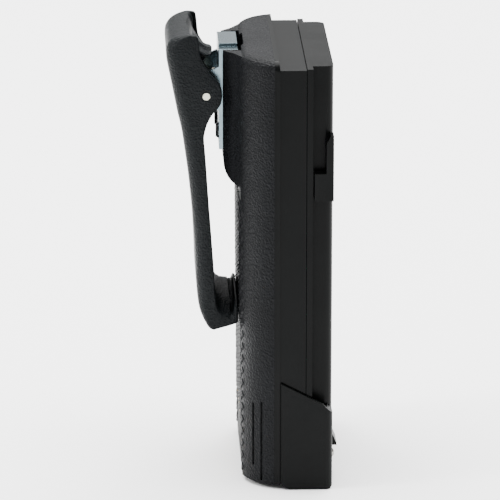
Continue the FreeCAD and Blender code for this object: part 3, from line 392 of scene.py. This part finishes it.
HARD_EDGE = 38                   # degrees above which an edge of the lever is shaded sharp
FINE_STEPS, STEPS, LIP_STEPS = 8, 6, 5   # points in each span of a smooth line
# the scoop: its tongue is longest in the middle, dished, and notched at the crown
TONGUE_FLAT, TONGUE_LOSS, TONGUE_CURVE = 0.16, 0.62, 1.15
SINK, SINK_SHARE = 0.55, 0.35
NOTCH_DEEP, NOTCH_HALF, NOTCH_SHARE, NOTCH_FADE = 0.7, 3.6, 0.9, 3.2
DIP = 0.27
TROUGH, TROUGH_EDGE, TROUGH_EASE, TROUGH_CURVE = 0.85, 0.95, 0.1, 0.7
TROUGH_BACK, TROUGH_DOWN = 0.85, 0.5
# the toe: its floor is crowned across, with a gap between the floor and the lip
TOE_LOW, TOE_HIGH = -58.65, -54.0
LIP_THIN, GAP_FROM, FLOOR_END, FLOOR_END_EASE = 1.14, 2.1, 1.9, 0.2
FLOOR_START, FLOOR_START_EASE = 1.9, 1.2
CROWN_CURVE = 6
LIP_LIFT, LIP_FALL = 0.1, 1.3
GAP_LIFT, GAP_SHARE = 3.4, 0.85
FLOOR_LIFT, FLOOR_FALL = 2.45, 4.0
COUNTS = {"back": 96, "scoop": 26, "under": 22, "neck": 34, "arm": 34, "lip": 44}


def clamped(value):
    """A value kept between 0 and 1."""
    return max(0.0, min(1.0, value))


def tongue_line(y):
    """The scooped tongue at one place across: from the crown down to its tip."""
    half = LEVER_HALF - WALL
    side = min(abs(y) / half, 1.0)
    full = through(SCOOP_LINE, FINE_STEPS)
    past = max(0.0, (side - TONGUE_FLAT) / (1 - TONGUE_FLAT))
    count = int(len(full) * (1.0 - TONGUE_LOSS * past ** TONGUE_CURVE))
    sink = SINK * (1 - side ** 2)
    notch = NOTCH_DEEP * math.exp(-(y / NOTCH_HALF) ** 2)
    line = []
    for i, (x, z) in enumerate(full[:count]):
        t = i / (len(full) - 1)
        top = max(0.0, 1 - NOTCH_FADE * t)
        dip = DIP * side * (1 - t) * t * 4
        trough = TROUGH * clamped((TROUGH_EDGE - side) / TROUGH_EASE)
        trough *= math.sin(math.pi * t) ** TROUGH_CURVE
        line.append((x - notch * top * NOTCH_SHARE - dip - trough * TROUGH_BACK,
                     z - sink * SINK_SHARE * math.sin(math.pi * t) - trough * TROUGH_DOWN))
    return line


def toe_lift(x, z, y):
    """How much the toe's lip, gap or floor rises at one place."""
    side = abs(y) / LEVER_HALF
    if z < TOE_LOW or z > TOE_HIGH:
        return 0.0
    if x > LIP_REACH - LIP_THIN:
        return LIP_LIFT - LIP_FALL * side ** CROWN_CURVE
    if x > LIP_REACH - GAP_FROM:
        return GAP_LIFT * max(0.0, 1 - (side / GAP_SHARE) ** CROWN_CURVE)
    floor = clamped((x - FLOOR_START) / FLOOR_START_EASE)
    floor *= clamped((LIP_REACH - FLOOR_END - x) / FLOOR_END_EASE)
    return floor * (FLOOR_LIFT - FLOOR_FALL * side ** CROWN_CURVE)


def section(y, hollow):
    """The lever's side outline at one place across, as a closed ring of points."""
    back = spaced(through(BACK_LINE, STEPS), COUNTS["back"])
    lip = spaced(through(LIP_LINE, LIP_STEPS), COUNTS["lip"])
    arm = spaced(through(ARM_LINE, STEPS), COUNTS["arm"])
    if hollow:
        scoop = tongue_line(y)
        tip, before = scoop[-1], scoop[-3]
        run = Vector((tip[0] - before[0], tip[1] - before[1])).normalized()
        normal = Vector((run.y, -run.x))
        if normal.x > 0:
            normal = -normal
        nose = [(tip[0] + run.x * NOSE + normal.x * NOSE_SHARE * RIM,
                 tip[1] + run.y * NOSE + normal.y * NOSE_SHARE * RIM),
                (tip[0] + normal.x * RIM, tip[1] + normal.y * RIM)]
        under = nose + [(x + normal.x * RIM, z + normal.y * RIM)
                        for x, z in reversed(scoop[len(scoop) // 2:-1])]
        under = spaced(under + LID_LINE, COUNTS["under"])
        scoop = spaced(scoop, COUNTS["scoop"])
        neck = spaced(through(HOLLOW_LINE, STEPS), COUNTS["neck"])
    else:
        scoop = spaced(through(JAW_LINE, STEPS), COUNTS["scoop"])
        under = spaced(through(LOBE_LINE, STEPS), COUNTS["under"])
        neck = spaced(through(NECK_LINE, STEPS), COUNTS["neck"])
    toe = [(x, z + toe_lift(x, z, y)) for x, z in arm[:-1] + lip[:-1]]
    return back[:-1] + scoop[:-1] + under[:-1] + neck[:-1] + toe


def pulled_in(ring, y):
    """The ring moved inwards near the lever's sides, which rounds its edges."""
    edge = abs(y)
    count = len(ring)
    backs = COUNTS["back"] - 1
    out = []
    for i, (x, z) in enumerate(ring):
        radius = ROUND_FRONT
        if i < backs:
            up = i / backs
            fade = clamped(min(up / FADE_FOOT, (1 - up) / FADE_CROWN))
            radius = ROUND_FRONT + (ROUND_BACK - ROUND_FRONT) * fade
        past = edge - (LEVER_HALF - radius)
        if past <= 0:
            out.append((x, z))
            continue
        amount = radius - math.sqrt(max(radius * radius - past * past, 0.0))
        ax, az = ring[i - 2]
        bx, bz = ring[(i + 2) % count]
        along = Vector((bx - ax, bz - az)).normalized()
        inward = Vector((along.y, -along.x))
        out.append((x + inward.x * amount, z + inward.y * amount))
    return out


def lever_slices():
    """Places across the lever, each with whether it lies in the hollow."""
    half = LEVER_HALF
    inner = half - WALL
    side = [(half - step, False) for step in SIDE_STEPS]
    side += [(inner + WALL_EDGE, False)]
    side += [(inner - step, True) for step in HOLLOW_STEPS]
    middle = [((inner - HOLLOW_STEPS[-1]) * (1 - 2 * k / MIDDLE_STEPS), True)
              for k in range(1, MIDDLE_STEPS)]
    return ([(-y, h) for y, h in side] + [(-y, h) for y, h in middle]
            + [(y, h) for y, h in reversed(side)])


def make_lever():
    """The hinged lever: its slices joined into one skin, with the pin's bore cut through."""
    form = bmesh.new()
    rings = []
    for y, hollow in lever_slices():
        ring = pulled_in(section(y, hollow), y)
        rings.append([form.verts.new(((PIN_X + x) * MM, y * MM, (PIN_Z + z) * MM))
                      for x, z in ring])
    count = len(rings[0])
    for a, b in zip(rings, rings[1:]):
        for i in range(count):
            j = (i + 1) % count
            form.faces.new((a[i], a[j], b[j], b[i]))
    form.faces.new(rings[0])
    form.faces.new(list(reversed(rings[-1])))
    bmesh.ops.recalc_face_normals(form, faces=form.faces)
    mesh = bpy.data.meshes.new("clip_lever_visual")
    form.to_mesh(mesh)
    form.free()
    lever = new_object("belt_clip", mesh, "clip_nylon")
    hole_form = bmesh.new()
    bmesh.ops.create_cone(hole_form, cap_ends=True, segments=BORE_SIDES, radius1=BORE_R * MM,
                          radius2=BORE_R * MM, depth=(2 * LEVER_HALF + BORE_PAST) * MM)
    hole_mesh = bpy.data.meshes.new("pin_bore")
    hole_form.to_mesh(hole_mesh)
    hole_form.free()
    bore = new_object("pin_bore", hole_mesh, "clip_nylon")
    bore.rotation_euler = (math.radians(90), 0, 0)
    bore.location = (PIN_X * MM, 0, PIN_Z * MM)
    drill = lever.modifiers.new("bore", "BOOLEAN")
    drill.operation = "DIFFERENCE"
    drill.object = bore
    drill.solver = "EXACT"
    apply_modifiers(lever)
    bpy.data.objects.remove(bore)
    mesh = lever.data
    for polygon in mesh.polygons:
        polygon.use_smooth = True
    form = bmesh.new()
    form.from_mesh(mesh)
    for edge in form.edges:
        if len(edge.link_faces) == 2 and edge.calc_face_angle(0) > math.radians(HARD_EDGE):
            edge.smooth = False
    form.to_mesh(mesh)
    form.free()
    mesh.materials.clear()
    mesh.materials.append(MATERIALS["clip_nylon"])
    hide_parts("clip_lever")
    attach(lever, "clip")


# ---- tread on the back -----------------------------------------------------------

SHELL_HALF = 28.6                # half the grained shell's width
CORNER = 12.5                    # radius of its big corners
LEAN, LEAN_TOP = 0.6, 73.0       # how far the back leans in at its foot, and where that ends
SCALE_PITCH, SCALE_RISE = 3.3, 0.36
SCALE_FILL = 0.47                # half a scale's width, as a share of the pitch
SCALE_TOP = 0.6                  # its flat top, as a share of its foot
SCALE_ROOT = 0.2                 # how deep its foot is set into the back
SCALE_EVEN, SCALE_TILT, SCALE_UNEVEN = 0.72, 0.28, 0.08
SCALE_SOFT = 0.08                # its softened edges
TREAD_FOOT, TREAD_TOP, TREAD_EDGE = 3.4, 76.5, 20.6
CONTACT_EDGE, CONTACT_TOP = 17.2, 16.2   # kept clear round the charging contacts


def back_surface(y, z):
    """Depth of the back's outside at one place, in millimetres."""
    lean = LEAN * max(0.0, 1 - z / LEAN_TOP)
    past = abs(y) - (SHELL_HALF - CORNER)
    if past <= 0:
        return BACK_X + lean
    return max(BACK_X + lean, BACK_X + CORNER - math.sqrt(CORNER ** 2 - past ** 2))


def make_tread():
    """Rows of small overlapping scales moulded on the back below the clip's boss."""
    form = bmesh.new()
    rows = int((TREAD_TOP - TREAD_FOOT) / (SCALE_PITCH * 0.5))
    columns = int(TREAD_EDGE / SCALE_PITCH) + 1
    half = SCALE_PITCH * SCALE_FILL
    corners = [(-half, 0.0), (0.0, -half), (half, 0.0), (0.0, half)]
    for row in range(rows):
        z0 = TREAD_FOOT + row * SCALE_PITCH * 0.5
        shift = 0.5 * SCALE_PITCH * (row % 2)
        for column in range(-columns, columns + 1):
            y0 = column * SCALE_PITCH + shift
            if abs(y0) > TREAD_EDGE or (abs(y0) < CONTACT_EDGE and z0 < CONTACT_TOP):
                continue
            outer, inner = [], []
            for a, b in corners:
                root = back_surface(y0 + a, z0 + b) + SCALE_ROOT
                outer.append(form.verts.new((root * MM, (y0 + a) * MM, (z0 + b) * MM)))
                y1 = y0 + a * SCALE_TOP
                z1 = z0 + b * SCALE_TOP
                lift = SCALE_RISE * (SCALE_EVEN - SCALE_TILT * b / half
                                     + SCALE_UNEVEN * rng.random())
                inner.append(form.verts.new(((back_surface(y1, z1) - lift) * MM, y1 * MM,
                                             z1 * MM)))
            for i in range(len(corners)):
                j = (i + 1) % len(corners)
                form.faces.new((outer[i], outer[j], inner[j], inner[i]))
            form.faces.new(inner)
            form.faces.new(list(reversed(outer)))
    bmesh.ops.recalc_face_normals(form, faces=form.faces)
    mesh = bpy.data.meshes.new("back_tread")
    form.to_mesh(mesh)
    form.free()
    tread = new_object("back_tread", mesh, "grained_shell")
    bevel = tread.modifiers.new("edges", "BEVEL")
    bevel.width = SCALE_SOFT * MM
    bevel.segments = 1
    apply_modifiers(tread)
    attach(tread, "pack")


# ---- camera, floor and light -----------------------------------------------------

LENS = 292.8
CAMERA_ROUND, CAMERA_UP = -2.1, 16.5     # degrees round the pack and above it
CAMERA_AWAY = 1.07
AIM_UP = 56.5                    # height of what the camera looks at, millimetres
FLOOR_HALF, FLOOR_DROP = 3.0, 0.0002
PAPER, PAPER_ROUGH, PAPER_SHINE = 0.96, 0.9, 0.1
WORLD = 0.42


def set_up_camera():
    """A long lens at the pack's side, a little above it."""
    camera_data = bpy.data.cameras.new("camera")
    camera_data.lens = LENS
    camera_data.clip_start = 0.05
    camera = bpy.data.objects.new("camera", camera_data)
    bpy.context.scene.collection.objects.link(camera)
    az, el = math.radians(CAMERA_ROUND), math.radians(CAMERA_UP)
    away = Vector((math.sin(az) * math.cos(el), -math.cos(az) * math.cos(el), math.sin(el)))
    aim = Vector((0, 0, AIM_UP * MM))
    camera.location = aim + away * CAMERA_AWAY
    camera.rotation_euler = away.to_track_quat("Z", "Y").to_euler()
    bpy.context.scene.camera = camera


def set_up_floor():
    """Plain pale paper, just under the pack."""
    form = bmesh.new()
    bmesh.ops.create_grid(form, x_segments=4, y_segments=4, size=FLOOR_HALF)
    mesh = bpy.data.meshes.new("floor")
    form.to_mesh(mesh)
    form.free()
    floor = bpy.data.objects.new("floor", mesh)
    bpy.context.scene.collection.objects.link(floor)
    floor.location = (0, 0, -FLOOR_DROP)
    paper = bpy.data.materials.new("paper")
    paper.use_nodes = True
    shader = paper.node_tree.nodes["Principled BSDF"]
    shader.inputs["Base Color"].default_value = (PAPER, PAPER, PAPER, 1)
    shader.inputs["Roughness"].default_value = PAPER_ROUGH
    shader.inputs["Specular IOR Level"].default_value = PAPER_SHINE
    mesh.materials.append(paper)


def softbox(name, place, aim, wide, tall, power):
    """A large rectangular light."""
    data = bpy.data.lights.new(name, "AREA")
    data.shape = "RECTANGLE"
    data.size, data.size_y = wide, tall
    data.energy = power
    lamp = bpy.data.objects.new(name, data)
    bpy.context.scene.collection.objects.link(lamp)
    lamp.location = place
    lamp.rotation_euler = (Vector(place) - Vector(aim)).to_track_quat("Z", "Y").to_euler()


def set_up_light():
    """An even white room, a large light overhead, and two weak ones that shape the edges."""
    world = bpy.data.worlds.new("studio")
    world.use_nodes = True
    backdrop = world.node_tree.nodes["Background"]
    backdrop.inputs[0].default_value = (1, 1, 1, 1)
    backdrop.inputs[1].default_value = WORLD
    bpy.context.scene.world = world
    softbox("overhead", (0.0, 0.4, 1.2), (0, 0.35, 0), 1.8, 1.6, 112.0)
    softbox("behind", (0.0, 1.0, 0.4), (0, 0, 0.08), 1.3, 0.4, 1.0)
    softbox("left_key", (-0.75, -0.18, 0.52), (0, 0, 0.08), 0.16, 0.22, 5.0)


# ---- make it ---------------------------------------------------------------------

for name, cad_node in frame["nodes"].items():
    cad_node.data.materials.clear()
    cad_node.data.materials.append(MATERIALS[SLOTS[name]])

for name, width in (("back_shell", 0.22), ("front_cover", 0.2), ("base_boot", 0.22),
                    ("clip_bracket", 0.14), ("radio_contacts", 0.1), ("charge_contacts", 0.08),
                    ("bracket_screws", 0.08), ("clip_pin", 0.12)):
    softened(name, width)
make_lever()
make_tread()
set_up_camera()
set_up_floor()
set_up_light()
